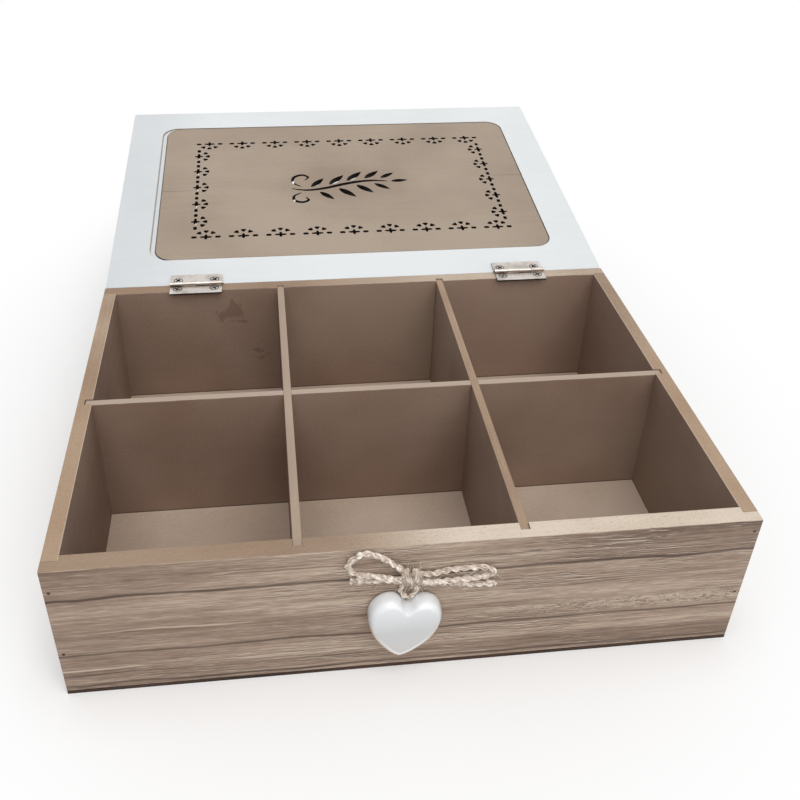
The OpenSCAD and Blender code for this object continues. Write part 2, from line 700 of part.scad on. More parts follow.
front_panel();
back_panel();
left_side_panel();
right_side_panel();
base_board();
left_divider();
right_divider();
cross_divider();
corner_brads();
base_brads();
left_hinge_box_leaf();
left_hinge_lid_leaf();
left_hinge_pin();
left_hinge_box_screws();
left_hinge_lid_screws();
right_hinge_box_leaf();
right_hinge_lid_leaf();
right_hinge_pin();
right_hinge_box_screws();
right_hinge_lid_screws();
lid_frame();
lid_panel();
heart_ornament();
twine_knot();
twine_loops();
twine_tails();
twine_hanger();
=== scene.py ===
"""The looks of the tea bag organizer box: wood, paint, metal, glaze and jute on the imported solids."""
import json
import math
import random

import bpy
from mathutils import Matrix, Vector


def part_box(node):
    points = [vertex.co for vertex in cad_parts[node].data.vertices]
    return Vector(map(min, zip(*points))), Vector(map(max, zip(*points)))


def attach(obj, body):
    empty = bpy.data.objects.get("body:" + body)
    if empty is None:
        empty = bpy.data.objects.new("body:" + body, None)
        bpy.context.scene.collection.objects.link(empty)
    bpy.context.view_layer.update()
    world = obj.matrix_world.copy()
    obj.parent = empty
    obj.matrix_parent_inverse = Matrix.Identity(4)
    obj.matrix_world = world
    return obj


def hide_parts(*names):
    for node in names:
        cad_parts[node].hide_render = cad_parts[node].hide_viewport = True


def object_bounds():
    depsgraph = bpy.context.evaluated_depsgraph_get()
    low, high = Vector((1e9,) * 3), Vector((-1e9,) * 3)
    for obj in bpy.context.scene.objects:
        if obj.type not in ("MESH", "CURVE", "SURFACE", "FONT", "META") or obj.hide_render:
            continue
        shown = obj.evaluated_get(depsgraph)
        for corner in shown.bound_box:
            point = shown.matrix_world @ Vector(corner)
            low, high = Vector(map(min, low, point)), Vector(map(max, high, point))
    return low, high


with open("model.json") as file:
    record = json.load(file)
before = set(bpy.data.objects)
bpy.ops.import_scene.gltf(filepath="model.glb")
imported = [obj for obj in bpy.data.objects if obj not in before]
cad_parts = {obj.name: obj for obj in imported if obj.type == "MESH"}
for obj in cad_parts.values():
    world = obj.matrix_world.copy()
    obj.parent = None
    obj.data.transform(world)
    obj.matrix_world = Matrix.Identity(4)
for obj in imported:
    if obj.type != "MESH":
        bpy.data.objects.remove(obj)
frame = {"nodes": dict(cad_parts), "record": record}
cad_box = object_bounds()
NODES = frame["nodes"]
MM = 0.001
HAIRLINE = 0.1 * MM  # width of the sharpest changes of colour

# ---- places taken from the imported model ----
front_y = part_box("front_panel")[0][1]
rim_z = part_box("front_panel")[1][2]
side_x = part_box("front_panel")[1][0]
side_inner_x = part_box("right_side_panel")[0][0]
wall_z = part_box("front_panel")[0][2]
hinge = next(j for j in frame["record"]["behaviour"]["joints"] if j["name"] == "lid_hinge")
axis_y, axis_z = hinge["pos_m"][1:]
LEAN = math.radians(7)  # the open lid's lean on the arris behind


def tone(red, green, blue):
    """A colour from 0-255 screen values."""
    def linear(c):
        c /= 255
        return c / 12.92 if c <= 0.04045 else ((c + 0.055) / 1.055) ** 2.4
    return (linear(red), linear(green), linear(blue), 1)


def leaf_depth(point):
    """How far back a point of the open lid lies, measured along the lid."""
    return (point[1] - axis_y) * math.cos(LEAN) + (point[2] - axis_z) * math.sin(LEAN)


def leaf_height(point, lean):
    """How high a point lies, measured square to a leaf or board that leans back."""
    return point.z * math.cos(lean) - point.y * math.sin(lean)


panel_points = [v.co for v in NODES["lid_panel"].data.vertices]
panel_left, panel_right = (pick(p.x for p in panel_points) for pick in (min, max))
panel_near, panel_far = (pick(leaf_depth(p) for p in panel_points) for pick in (min, max))
PANEL_X, PANEL_DEPTH = (panel_left + panel_right) / 2, (panel_near + panel_far) / 2
PANEL_HALF_X, PANEL_HALF_DEPTH = (panel_right - panel_left) / 2, (panel_far - panel_near) / 2
PANEL_FLOOR = min(leaf_height(p, LEAN) for p in panel_points)
PANEL_PLAY = 0.3 * MM  # gap between the panel and its recess
RECESS_CORNER = 9 * MM  # radius of its corners


# ---- node materials ----
class Material:
    """Builds one procedural material; each call adds a node and returns its output."""

    def __init__(self, name, **constants):
        self.data = bpy.data.materials.new(name)
        self.data.use_nodes = True
        self.nodes = self.data.node_tree.nodes
        self.nodes.clear()
        self.shader = self.nodes.new("ShaderNodeBsdfPrincipled")
        output = self.nodes.new("ShaderNodeOutputMaterial")
        self.link(self.shader.outputs["BSDF"], output.inputs["Surface"])
        self.coordinates = self.nodes.new("ShaderNodeTexCoord")
        for socket, value in constants.items():
            self.set(socket.replace("_", " "), value)

    def link(self, source, target):
        self.data.node_tree.links.new(source, target)

    def feed(self, target, value):
        if isinstance(value, bpy.types.NodeSocket):
            self.link(value, target)
        else:
            target.default_value = value

    def set(self, socket, value):
        self.feed(self.shader.inputs[socket], value)

    def place(self):
        return self.coordinates.outputs["Object"]

    def uv(self):
        return self.coordinates.outputs["UV"]

    def axes(self, vector):
        """The three parts of a vector."""
        node = self.nodes.new("ShaderNodeSeparateXYZ")
        self.feed(node.inputs[0], vector)
        return node.outputs

    def normal(self):
        return self.coordinates.outputs["Normal"]

    def join(self, x, y, z):
        node = self.nodes.new("ShaderNodeCombineXYZ")
        for target, value in zip(node.inputs, (x, y, z)):
            self.feed(target, value)
        return node.outputs[0]

    def calc(self, operation, a, b=0.0, clamp=False):
        node = self.nodes.new("ShaderNodeMath")
        node.operation = operation
        node.use_clamp = clamp
        self.feed(node.inputs[0], a)
        self.feed(node.inputs[1], b)
        return node.outputs[0]

    def times(self, a, b, clamp=False):
        return self.calc("MULTIPLY", a, b, clamp)

    def minus(self, a, b, clamp=False):
        return self.calc("SUBTRACT", a, b, clamp)

    def plus(self, a, b, clamp=False):
        return self.calc("ADD", a, b, clamp)

    def length(self, a, b):
        """Length of the vector (a, b)."""
        return self.calc("SQRT", self.total((self.times(a, a), 1.0), (self.times(b, b), 1.0)))

    def oval(self, a, b, reach_a, reach_b):
        """0 in the middle of an oval and 1 on its outline, growing with the square of the distance."""
        shares = (self.calc("DIVIDE", *pair) for pair in ((a, reach_a), (b, reach_b)))
        return self.total(*((self.calc("POWER", share, 2.0), 1.0) for share in shares))

    def total(self, *parts):
        """Sum of (value, weight) pairs."""
        out = 0.0
        for value, weight in parts:
            out = self.plus(out, self.times(value, weight))
        return out

    def stretch(self, vector, scale, shift=(0, 0, 0)):
        node = self.nodes.new("ShaderNodeMapping")
        self.feed(node.inputs["Vector"], vector)
        node.inputs["Scale"].default_value = scale
        node.inputs["Location"].default_value = shift
        return node.outputs[0]

    def noise(self, vector, scale=1.0, *, detail, roughness=0.55, distortion=0.0):
        node = self.nodes.new("ShaderNodeTexNoise")
        self.feed(node.inputs["Vector"], vector)
        for socket, value in (("Scale", scale), ("Detail", detail), ("Roughness", roughness),
                              ("Distortion", distortion)):
            node.inputs[socket].default_value = value
        return node.outputs["Fac"]

    def dots(self, scale, size, shift):
        """1 inside a small ragged dot in each cell; cells are 1/scale metres, size is a share of that."""
        node = self.nodes.new("ShaderNodeTexVoronoi")
        self.feed(node.inputs["Vector"], self.stretch(self.place(), (1, 1, 1), shift))
        node.inputs["Scale"].default_value = scale
        ragged = self.times(self.noise(self.place(), scale=14 * scale, detail=2), size * 1.6)
        return self.fade(self.plus(node.outputs["Distance"], ragged), size * 1.3, size * 1.7, 1.0, 0.0)

    def fade(self, value, low, high, start=0.0, end=1.0):
        """Smooth change from start, at low, to end, at high."""
        node = self.nodes.new("ShaderNodeMapRange")
        node.interpolation_type = "SMOOTHSTEP"
        for target, v in zip(node.inputs, (value, low, high, start, end)):
            self.feed(target, v)
        return node.outputs[0]

    def near(self, value, centre, half):
        """1 where value is at centre, down to 0 at half away."""
        off = self.calc("ABSOLUTE", self.minus(value, centre))
        return self.fade(off, 0.0, half, 1.0, 0.0)

    def blend(self, factor, a, b, mode="MIX"):
        node = self.nodes.new("ShaderNodeMix")
        node.data_type = "RGBA"
        node.blend_type = mode
        self.feed(node.inputs[0], factor)
        self.feed(node.inputs[6], a)
        self.feed(node.inputs[7], b)
        return node.outputs[2]

    def ramp(self, value, *stops):
        """Colour from (place, colour) stops."""
        node = self.nodes.new("ShaderNodeValToRGB")
        self.feed(node.inputs[0], value)
        ramp = node.color_ramp
        while len(ramp.elements) < len(stops):
            ramp.elements.new(0.5)
        for element, (at, colour) in zip(ramp.elements, stops):
            element.position = at
            element.color = colour
        return node.outputs[0]

    def done(self, colour, roughness, height, distance, strength):
        """Fills the sockets that every material of the object fills, and returns the material."""
        bump = self.nodes.new("ShaderNodeBump")
        bump.inputs["Strength"].default_value = strength
        bump.inputs["Distance"].default_value = distance
        self.feed(bump.inputs["Height"], height)
        self.set("Base Color", colour)
        self.set("Roughness", roughness)
        self.set("Normal", bump.outputs[0])
        return self.data


def past_edge(m, x, depth, half_x, half_depth, corner):
    """How far a point lies outside a rounded rectangle about the origin; less than 0 inside."""
    past_x, past_depth = (m.calc("MAXIMUM", m.minus(m.calc("ABSOLUTE", value), half - corner), 0.0)
                          for value, half in ((x, half_x), (depth, half_depth)))
    return m.minus(m.length(past_x, past_depth), corner)


def grain_space(m, along, fine, length=26.0, shift=(0, 0, 0)):
    """Object space squeezed so that noise runs in streaks along X or Y."""
    scale = (length, fine, fine) if along == "X" else (fine, length, fine)
    return m.stretch(m.place(), scale, shift)


# ---- wood ----
WASH = {"deep": tone(116, 95, 80), "mid": tone(150, 130, 114), "pale": tone(190, 172, 155)}
STAIN = {"deep": tone(128, 103, 89), "mid": tone(139, 116, 101), "pale": tone(149, 128, 112)}
FLOOR = {"deep": tone(186, 165, 147), "mid": tone(197, 177, 159), "pale": tone(207, 188, 171)}
RIM_TAN = {"deep": tone(140, 115, 94), "mid": tone(160, 135, 113), "pale": tone(177, 153, 130)}
RIM_CREAM = {"deep": tone(190, 172, 153), "mid": tone(207, 190, 171), "pale": tone(220, 205, 188)}
PANEL = {"deep": tone(153, 137, 121), "mid": tone(162, 146, 130), "pale": tone(170, 154, 138)}
CRACK = tone(58, 40, 31)
SMUDGE = tone(104, 82, 70)
# Planks of the outside, from the foot up: lower edge above the walls' foot in mm, then how thick the wash
# looks at the left end, in the middle and at the right end, where 1 is plain; partly painted light and shade
PLANKS = [(0.0, 0.75, 0.9, 0.7), (9.4, 0.8, 1.05, 1.05), (17.6, 0.75, 0.95, 1.05),
          (28.2, 0.9, 1.15, 1.05), (45.0, 0.75, 1.3, 0.65)]
# Seams between planks: height above the foot, half width, depth
SEAMS = [(45.0, 0.85, 1.0), (17.6, 0.65, 0.9), (1.6, 0.8, 0.8)]
# Fainter cracks, and raised edges with a painted highlight along them, in the same terms
CHECKS = [(51.7, 0.4, 0.6), (6.8, 0.5, 0.7), (4.4, 0.4, 0.6)]
HIGHLIT_EDGES = [(28.2, 0.75, 0.8), (9.4, 0.7, 0.7)]
# What each kind of line looks like: its ink, how far it stands out, a gain, how much of it is left where it
# is faintest, and how much of it is left at the right
LINES = [(HIGHLIT_EDGES, tone(204, 187, 169), 0.5, 1.0, 0.12, 0.3),
         (CHECKS, CRACK, -0.7, 1.0, 0.12, 1.0),
         (SEAMS, CRACK, -1.2, 1.7, 0.7, 1.0)]
# Soft dark bands beside three of the lines, painted shade with some soot: heights above the foot
SOOT_AND_SHADE = [45.8, 18.4, 26.6]
# Hair cracks of the brushed grain: noise across the grain, noise along it, strength
HAIR_CRACKS = [(1500, 60, 1.0), (2300, 170, 0.8), (1900, 22, 0.7)]
TORN_HEIGHT, TORN_HALF = 22.5 * MM, 5.5 * MM  # the torn plank's middle above the foot, and its half width


def plank_tint_and_shade(m, rise, across):
    """Each plank took the wash its own way, and the wood is redder where the wash is thin; the tones along
    the wall are partly painted light and shade.
    """
    tint = (1, 1, 1, 1)
    for at, left, middle, right in PLANKS:
        own = m.total((m.fade(across, -1.0, 0.0), middle - left),
                      (m.fade(across, 0.05, 0.62), right - middle), (1.0, left))
        own_tint_and_shade = m.join(own, m.calc("POWER", own, 1.15), m.calc("POWER", own, 1.2))
        tint = m.blend(m.fade(rise, (at - 0.5) * MM, (at + 0.5) * MM), tint, own_tint_and_shade)
    return tint


def brushed_grain(m, along, across, colour, relief):
    """Adds hair cracks, each with a painted highlight on the lip under it, in rough patches."""
    rough = m.fade(m.noise(m.stretch(m.place(), (16, 16, 60), (3, 1, 6)), detail=2), 0.42, 0.56, 0.1, 1.0)
    rough = m.times(rough, m.fade(across, -0.75, 0.0, 0.45, 1.0))
    for fine, length, weight in HAIR_CRACKS:
        spaces = (grain_space(m, along, fine, length, (6, 1, shift)) for shift in (8.0, 8.8))
        crack, lip = (m.fade(m.noise(space, detail=2), 0.585, 0.66) for space in spaces)
        crack = m.times(crack, rough)
        lip = m.times(m.minus(lip, crack, clamp=True), rough)
        # painted highlight on each crack's lip
        colour = m.blend(m.times(lip, 0.7 * weight), colour, tone(214, 199, 183))
        colour = m.blend(m.times(crack, 0.72 * weight), colour, tone(92, 71, 59))
        relief = m.total((relief, 1.0), (lip, 0.3), (crack, -0.5))
    return colour, relief


def plank_lines(m, rise, presence, across, colour, relief):
    """Adds the seams, checks and raised edges between the planks, the painted highlights on those edges, and
    the painted shade and soot beside them.
    """
    for lines, ink, lift, gain, least, at_right in LINES:
        for at, half, depth in lines:
            line = m.times(m.near(rise, at * MM, half * MM), gain, clamp=True)
            line = m.times(line, m.fade(presence, 0.4, 0.6, depth * least, depth))
            line = m.times(line, m.fade(across, -0.1, 0.4, 1.0, at_right))
            colour = m.blend(line, colour, ink)
            relief = m.plus(relief, m.times(line, lift))
    for at in SOOT_AND_SHADE:
        # painted shade beside the line, with some soot
        soot_and_shade = m.times(m.near(rise, at * MM, 3.0 * MM), m.fade(presence, 0.42, 0.62, 0.1, 0.45))
        colour = m.blend(soot_and_shade, colour, WASH["deep"])
    return colour, relief


def torn_grain(m, run, up, colour, relief):
    """Adds torn grain to one plank, right of the middle."""
    torn = m.noise(m.stretch(m.place(), (230, 230, 950), (2, 2, 2)), detail=3, distortion=1.6)
    where = m.times(m.near(up, TORN_HEIGHT, TORN_HALF), m.fade(run, 20 * MM, 60 * MM))
    tear = m.times(m.fade(torn, 0.55, 0.6), where)
    lip = m.times(m.near(torn, 0.52, 0.03), where)
    colour = m.blend(m.times(lip, 0.6), colour, tone(206, 190, 173))
    colour = m.blend(m.times(tear, 0.8), colour, WASH["deep"])
    return colour, m.minus(relief, m.times(tear, 0.8))


def weathered(m, along):
    """Colour and height of the wire-brushed, grey-brown washed planks outside."""
    x, y, z = m.axes(m.place())
    run = x if along == "X" else y
    across = m.calc("DIVIDE", x, side_x)
    up = m.minus(z, wall_z)
    # the planks' lines drift and wave, so everything that follows them goes by this height
    drift = m.noise(m.join(m.times(run, 9.0), 0.0, 0.0), detail=2)
    wave = m.noise(m.join(m.times(run, 38.0), m.times(z, 40.0), 4.0), detail=2)
    rise = m.total((up, 1.0), (m.minus(drift, 0.5), 3.2 * MM), (m.minus(wave, 0.5), 2.4 * MM))
    broad = m.noise(grain_space(m, along, fine=190, length=8, shift=(9, 2, 4)), detail=3)
    streaks = m.noise(grain_space(m, along, fine=900, length=45), detail=5, roughness=0.65)
    fine = m.noise(grain_space(m, along, fine=2600, length=200, shift=(3, 5, 7)), detail=2)
    relief = m.total((broad, 0.34), (streaks, 0.4), (fine, 0.26))
    colour = m.ramp(relief, (0.36, WASH["deep"]), (0.5, WASH["mid"]), (0.66, WASH["pale"]))
    # the planks' tones, partly painted light and shade along the wall
    colour = m.blend(1.0, colour, plank_tint_and_shade(m, rise, across), "MULTIPLY")
    colour, relief = brushed_grain(m, along, across, colour, relief)
    presence = m.noise(m.join(m.times(run, 20.0), m.times(z, 60.0), 2.0), detail=2)
    colour, relief = plank_lines(m, rise, presence, across, colour, relief)
    return torn_grain(m, run, up, colour, relief)


def stained(m, along, colours, grain):
    """Colour and height of thin board, stained and sanded: clouded, with a small share of grain."""
    cloud = m.noise(m.place(), scale=13, detail=3, roughness=0.5)
    streaks = m.noise(grain_space(m, along, fine=560, length=24, shift=(2, 6, 1)), detail=4)
    grit = m.noise(m.place(), scale=1300, detail=2)
    value = m.total((cloud, 0.74 - grain), (streaks, grain), (grit, 0.26))
    colour = m.ramp(value, (0.4, colours["deep"]), (0.5, colours["mid"]), (0.6, colours["pale"]))
    return colour, m.total((streaks, 0.4), (grit, 0.6))


def scuffed(m, colour, along):
    """A few dark rubs, dark nicks and pale chips, all sparse."""
    scale = (130, 130, 420) if along == "X" else (420, 130, 130)
    rub = m.fade(m.noise(m.stretch(m.place(), scale, (5, 1, 7)), detail=3, distortion=0.8), 0.68, 0.74)
    spot = m.fade(m.noise(m.place(), scale=34, detail=1), 0.55, 0.66)
    colour = m.blend(m.times(m.times(rub, spot), 0.6), colour, SMUDGE)
    colour = m.blend(m.times(m.dots(26, 0.018, (3, 3, 3)), 0.7), colour, SMUDGE)
    return m.blend(m.times(m.dots(28, 0.017, (8, 2, 5)), 0.9), colour, tone(214, 197, 180))


def rim_wood(m, along, start, end, share, darkening):
    """Colour of a sanded top edge: tan, darkened by one share, that turns to cream by the other.

    The cream begins at start and is full at end, both in mm along X. The darker tan and the cream are partly
    the wood's own tones, partly painted shade and light.
    """
    # the tan is darkened, partly as painted shade
    tan = m.blend(darkening, stained(m, along, RIM_TAN, 0.12)[0], RIM_TAN["deep"])
    cream = stained(m, along, RIM_CREAM, 0.12)[0]
    rubbed = m.noise(m.place(), scale=16, detail=2)
    # the cream along X is partly painted light
    share = m.plus(m.fade(m.axes(m.place())[0], start * MM, end * MM, 0.0, share),
                   m.fade(rubbed, 0.44, 0.66, 0.0, 0.1), clamp=True)
    colour = m.blend(share, tan, cream)
    if along == "Y":
        # the side rims are warmer towards the front, with a painted highlight along their inner arris
        x, y = m.axes(m.place())[:2]
        colour = m.blend(m.fade(y, -20 * MM, 80 * MM, 0.5, 0.0), colour, tone(168, 138, 110))
        inner_arris_highlight = m.fade(m.calc("ABSOLUTE", x), side_inner_x + 0.1 * MM, side_inner_x + 0.45 * MM, 0.6, 0.0)
        colour = m.blend(inner_arris_highlight, colour, RIM_CREAM["mid"])
    pores = m.noise(grain_space(m, along, fine=1500, length=420, shift=(4, 4, 4)), detail=1)
    return m.blend(m.times(m.fade(pores, 0.64, 0.74), 0.4), colour, RIM_TAN["deep"])


def worn_and_highlit_arris(m, colour, depth, strength):
    """A crisp, narrow pale line just under a top edge: bare wood worn through, and a painted highlight on
    the arris.
    """
    z = m.axes(m.place())[2]
    edge = m.fade(z, rim_z - depth - 0.5 * MM, rim_z - depth)
    patchy = m.fade(m.noise(m.place(), scale=90, detail=3), 0.42, 0.6, 0.1, strength)
    # pale line: worn wood and a painted highlight
    return m.blend(m.times(edge, patchy), colour, RIM_CREAM["deep"])


def wall_foot(m, colour):
    """The dark line where a wall or divider meets the floor."""
    z = m.axes(m.place())[2]
    foot = m.fade(z, wall_z + 0.25 * MM, wall_z + 0.75 * MM, 0.75, 0.0)
    return m.blend(foot, colour, CRACK)


def wall_material(name, along, outward, bare, seams=(), smudges=(), painted_light=None):
    """A wall of the box: washed planks outside, stained inside, pale and sanded on top.

    bare is what rim_wood takes for the top. Each seam is an axis and the place of a joint's line on it. Each
    smudge inside has a place along X, a height above the wall's foot and a reach. The last argument is where
    along the wall painted light begins to make the inside paler, and where it is palest.
    """
    m = Material(name, Specular_IOR_Level=0.32)
    x, y, z = m.axes(m.place())
    nx, ny, nz = m.axes(m.normal())
    facing = nx if outward[0] else ny
    outside = m.fade(m.times(facing, sum(outward)), 0.5, 0.6)
    top = m.fade(nz, 0.5, 0.6)
    out_colour, out_height = weathered(m, along)
    end_grain = m.fade(m.calc("ABSOLUTE", x), side_x - 0.3 * MM, side_x - 0.2 * MM)
    outside = m.calc("MAXIMUM", outside, end_grain)
    in_colour, in_height = stained(m, along, STAIN, 0.05)
    if painted_light:
        # painted light: the inside gets paler towards one end
        run = x if along == "X" else y
        in_colour = m.blend(m.fade(run, *painted_light, 0.0, 0.25), in_colour, tone(165, 140, 124))
    in_colour = wall_foot(m, scuffed(m, in_colour, along))
    for at_x, up, half in smudges:
        where = m.times(m.near(x, at_x, half), m.near(z, wall_z + up, half))
        blot = m.noise(m.stretch(m.place(), (120, 120, 150), (2, 0, 1)), detail=3, distortion=1.5)
        mark = m.fade(m.total((blot, 1.0), (where, 0.4)), 0.8, 0.83)
        in_colour = m.blend(m.times(mark, 0.48), in_colour, SMUDGE)
    colour = m.blend(outside, in_colour, out_colour)
    colour = worn_and_highlit_arris(m, colour, 0.0, 0.85)
    colour = m.blend(top, colour, rim_wood(m, along, *bare))
    for axis, at in seams:
        line = m.times(m.near(x if axis == "X" else y, at, 0.3 * MM), top)
        colour = m.blend(m.times(line, 0.7), colour, CRACK)
    height = m.blend(outside, in_height, out_height)
    return m.done(colour, m.fade(out_height, 0.2, 0.8, 0.6, 0.8), height, 0.3 * MM, 0.7)


def divider_material(name, along, shade):
    """A divider: stained, with a sanded top edge that is greyish where shade is 0 and tan where it is 1."""
    m = Material(name, Specular_IOR_Level=0.32)
    top = m.fade(m.axes(m.normal())[2], 0.5, 0.6)
    colour, height = stained(m, along, STAIN, 0.05)
    colour = worn_and_highlit_arris(m, wall_foot(m, scuffed(m, colour, along)), 0.6 * MM, 0.7)
    top_colour = m.blend(shade, tone(184, 167, 152), stained(m, along, RIM_TAN, 0.2)[0])
    colour = m.blend(top, colour, top_colour)
    return m.done(colour, m.fade(height, 0.3, 0.7, 0.6, 0.75), height, 0.12 * MM, 0.5)


def base_material():
    """The base board: pale inside, with specks of dust, dents and chips, and a dark outer edge."""
    m = Material("base_wood", Specular_IOR_Level=0.3)
    colour, height = stained(m, "X", FLOOR, 0.1)
    dust = m.fade(m.noise(m.place(), scale=520, detail=2), 0.68, 0.75)
    colour = m.blend(m.times(dust, 0.4), colour, tone(214, 200, 184))
    dents, chips = m.dots(46, 0.035, (1, 6, 2)), m.dots(38, 0.03, (5, 2, 9))
    colour = m.blend(m.times(dents, 0.4), colour, WASH["deep"])
    colour = m.blend(m.times(chips, 0.6), colour, tone(222, 208, 192))
    flat = m.fade(m.calc("ABSOLUTE", m.axes(m.normal())[2]), 0.5, 0.6)
    edge = m.ramp(m.noise(grain_space(m, "X", fine=1500), detail=3),
                  (0.4, tone(40, 27, 20)), (0.65, tone(72, 52, 40)))
    colour = m.blend(flat, edge, colour)
    return m.done(colour, m.fade(height, 0.3, 0.7, 0.62, 0.78), height, 0.12 * MM, 0.5)


def across_leaf(m, vector, lean):
    """The part of a vector that stands square to a leaf or board that leans back."""
    y, z = m.axes(vector)[1:]
    return m.total((z, math.cos(lean)), (y, -math.sin(lean)))


def on_lid(m):
    """Place on the open lid: along X, and back from the hinges' axis along the lid."""
    x, y, z = m.axes(m.place())
    deep = m.total((m.minus(y, axis_y), math.cos(LEAN)), (m.minus(z, axis_z), math.sin(LEAN)))
    return x, deep


def panel_material():
    """The pierced panel: tan ply, charred at the cuts and darkened there to near black as painted shade, and
    clouded round the sprig.
    """
    m = Material("panel_wood", Specular_IOR_Level=0.3)
    colour, height = stained(m, "X", PANEL, 0.14)
    x, deep = on_lid(m)
    off_x, off_deep = m.minus(x, PANEL_X), m.minus(deep, PANEL_DEPTH)
    cloud = m.noise(m.place(), scale=60, detail=3)
    spread = m.plus(m.oval(off_x, off_deep, 40 * MM, 22 * MM), m.times(cloud, 1.1))
    smoke = m.fade(spread, 0.5, 1.7, 0.3, 0.0)
    colour = m.blend(smoke, colour, tone(124, 102, 85))
    # two short checks in the ply, one at each end, on a line that waves
    wave = m.times(m.noise(m.join(m.times(x, 40.0), 0.0, 0.0), detail=2), 3 * MM)
    for side, at in ((-1, -1.5), (1, 5.5)):
        check = m.near(m.plus(off_deep, wave), at * MM, 0.45 * MM)
        check = m.times(check, m.fade(m.times(off_x, side), 76 * MM, 96 * MM))
        colour = m.blend(m.times(check, 0.7), colour, tone(112, 88, 72))
    # the panel's own edge is browned too: burnt, and painted shadow of the gap round it
    past = past_edge(m, off_x, off_deep, PANEL_HALF_X, PANEL_HALF_DEPTH, RECESS_CORNER)
    colour = m.blend(m.fade(past, -0.5 * MM, -0.1 * MM, 0.0, 0.55), colour, tone(84, 66, 54))
    face = m.fade(m.calc("ABSOLUTE", across_leaf(m, m.normal(), LEAN)), 0.5, 0.7)
    # the cut walls: charred, and darkened near black as painted shade in the holes
    char_and_shade = m.ramp(m.noise(m.place(), scale=400, detail=2), (0.35, tone(8, 5, 4)), (0.7, tone(20, 13, 9)))
    return m.done(m.blend(face, char_and_shade, colour), m.fade(height, 0.3, 0.7, 0.55, 0.7), height, 0.1 * MM, 0.4)


def paint_material():
    """White satin paint, rolled on: an even skin with a faint orange peel, and painted shade that greys it
    at the left.
    """
    m = Material("white_paint", Specular_IOR_Level=0.4)
    peel = m.noise(m.place(), scale=760, detail=2)
    cloud = m.noise(m.place(), scale=11, detail=2)
    rolled = m.noise(m.stretch(m.place(), (70, 240, 240)), detail=3)
    value = m.total((cloud, 0.6), (rolled, 0.25), (peel, 0.15))
    left = m.ramp(value, (0.4, tone(206, 210, 212)), (0.6, tone(213, 216, 218)))
    right = m.ramp(value, (0.4, tone(220, 224, 225)), (0.6, tone(227, 230, 231)))
    x, deep = on_lid(m)
    # painted shade: greyer towards the left end
    colour = m.blend(m.fade(x, -112 * MM, -60 * MM), left, right)
    # painted shadow: a fine grey-brown line along the recess's edge beside the panel's left end
    past = past_edge(m, x, m.minus(deep, PANEL_DEPTH), panel_right + PANEL_PLAY,
                     PANEL_HALF_DEPTH + PANEL_PLAY, RECESS_CORNER)
    line = m.times(m.near(past, 0.1 * MM, 0.55 * MM), m.fade(x, -101 * MM, -90 * MM, 0.8, 0.0))
    line = m.times(line, m.fade(deep, panel_near + 2 * MM, panel_near + 12 * MM))
    facing = across_leaf(m, m.normal(), LEAN)
    line = m.times(line, m.fade(facing, 0.5, 0.7))
    colour = m.blend(line, colour, tone(140, 128, 116))
    # painted shade makes the recess's own sides brown too, but not the window's, which are painted
    edge = m.fade(m.calc("ABSOLUTE", facing), 0.5, 0.7, 0.85, 0.0)
    edge = m.times(edge, m.fade(past, 0.2 * MM, 0.6 * MM, 1.0, 0.0))
    level = across_leaf(m, m.place(), LEAN)
    edge = m.times(edge, m.fade(level, PANEL_FLOOR - HAIRLINE, PANEL_FLOOR + HAIRLINE))
    colour = m.blend(edge, colour, tone(112, 92, 78))
    skin = m.total((peel, 1.0), (rolled, 0.5))
    return m.done(colour, m.fade(rolled, 0.3, 0.7, 0.4, 0.5), skin, 0.05 * MM, 0.4)


# ---- metal ----
HEAD_RING, RING_HALF = 1.9 * MM, 0.5 * MM  # radius and half width of the painted shadow ring round a screw's head
DRIVER_FLOOR = 0.2 * MM  # below this depth under its top, a screw gets the painted shade of its driver cross


def screw_places(node, lean):
    """The middles of a node's two screw heads: x, and the place along the leaf."""
    points = [v.co for v in NODES[node].data.vertices]
    spots = [(p.x, p.y * math.cos(lean) + p.z * math.sin(lean)) for p in points]
    split = (min(spots)[0] + max(spots)[0]) / 2
    for side in (-1, 1):
        mine = [spot for spot in spots if side * (spot[0] - split) > 0]
        yield [(min(values) + max(values)) / 2 for values in zip(*mine)]


def nickel_material(name, lean=0.0, heads=(), painted_shade_below=None):
    """Brushed nickel, with painted shade at its edges, a painted shadow round the screws' heads and painted
    shade in their driver crosses.
    """
    m = Material(name, Metallic=1.0)
    brushed = m.noise(m.stretch(m.place(), (60, 2400, 2400)), detail=3)
    stain = m.noise(m.place(), scale=150, detail=3, roughness=0.6)
    colour = m.ramp(stain, (0.36, tone(186, 178, 170)), (0.5, tone(207, 200, 193)),
                    (0.66, tone(220, 214, 208)))
    # painted shade where the metal turns away from the leaf's face: edges and knuckles' sides
    edge = m.fade(m.calc("ABSOLUTE", across_leaf(m, m.normal(), lean)), 0.55, 0.88, 0.85, 0.0)
    colour = m.blend(edge, colour, tone(96, 82, 72))
    x, y, z = m.axes(m.place())
    along = m.total((y, math.cos(lean)), (z, math.sin(lean)))
    for at_x, at_along in heads:
        # painted shadow in the gap round each screw's head
        ring = m.near(m.length(m.minus(x, at_x), m.minus(along, at_along)), HEAD_RING, RING_HALF)
        colour = m.blend(m.times(ring, 0.9), colour, tone(62, 51, 43))
    if painted_shade_below is not None:
        # painted shade deep in the driver crosses
        deep = m.fade(across_leaf(m, m.place(), lean), painted_shade_below - HAIRLINE, painted_shade_below, 1.0, 0.0)
        colour = m.blend(deep, colour, tone(40, 32, 27))
    return m.done(colour, m.fade(m.plus(brushed, stain), 0.7, 1.3, 0.24, 0.4), brushed, 0.03 * MM, 0.4)


def top_of(node, lean):
    """How far a node reaches, measured square to its leaf."""
    return max(leaf_height(v.co, lean) for v in NODES[node].data.vertices)


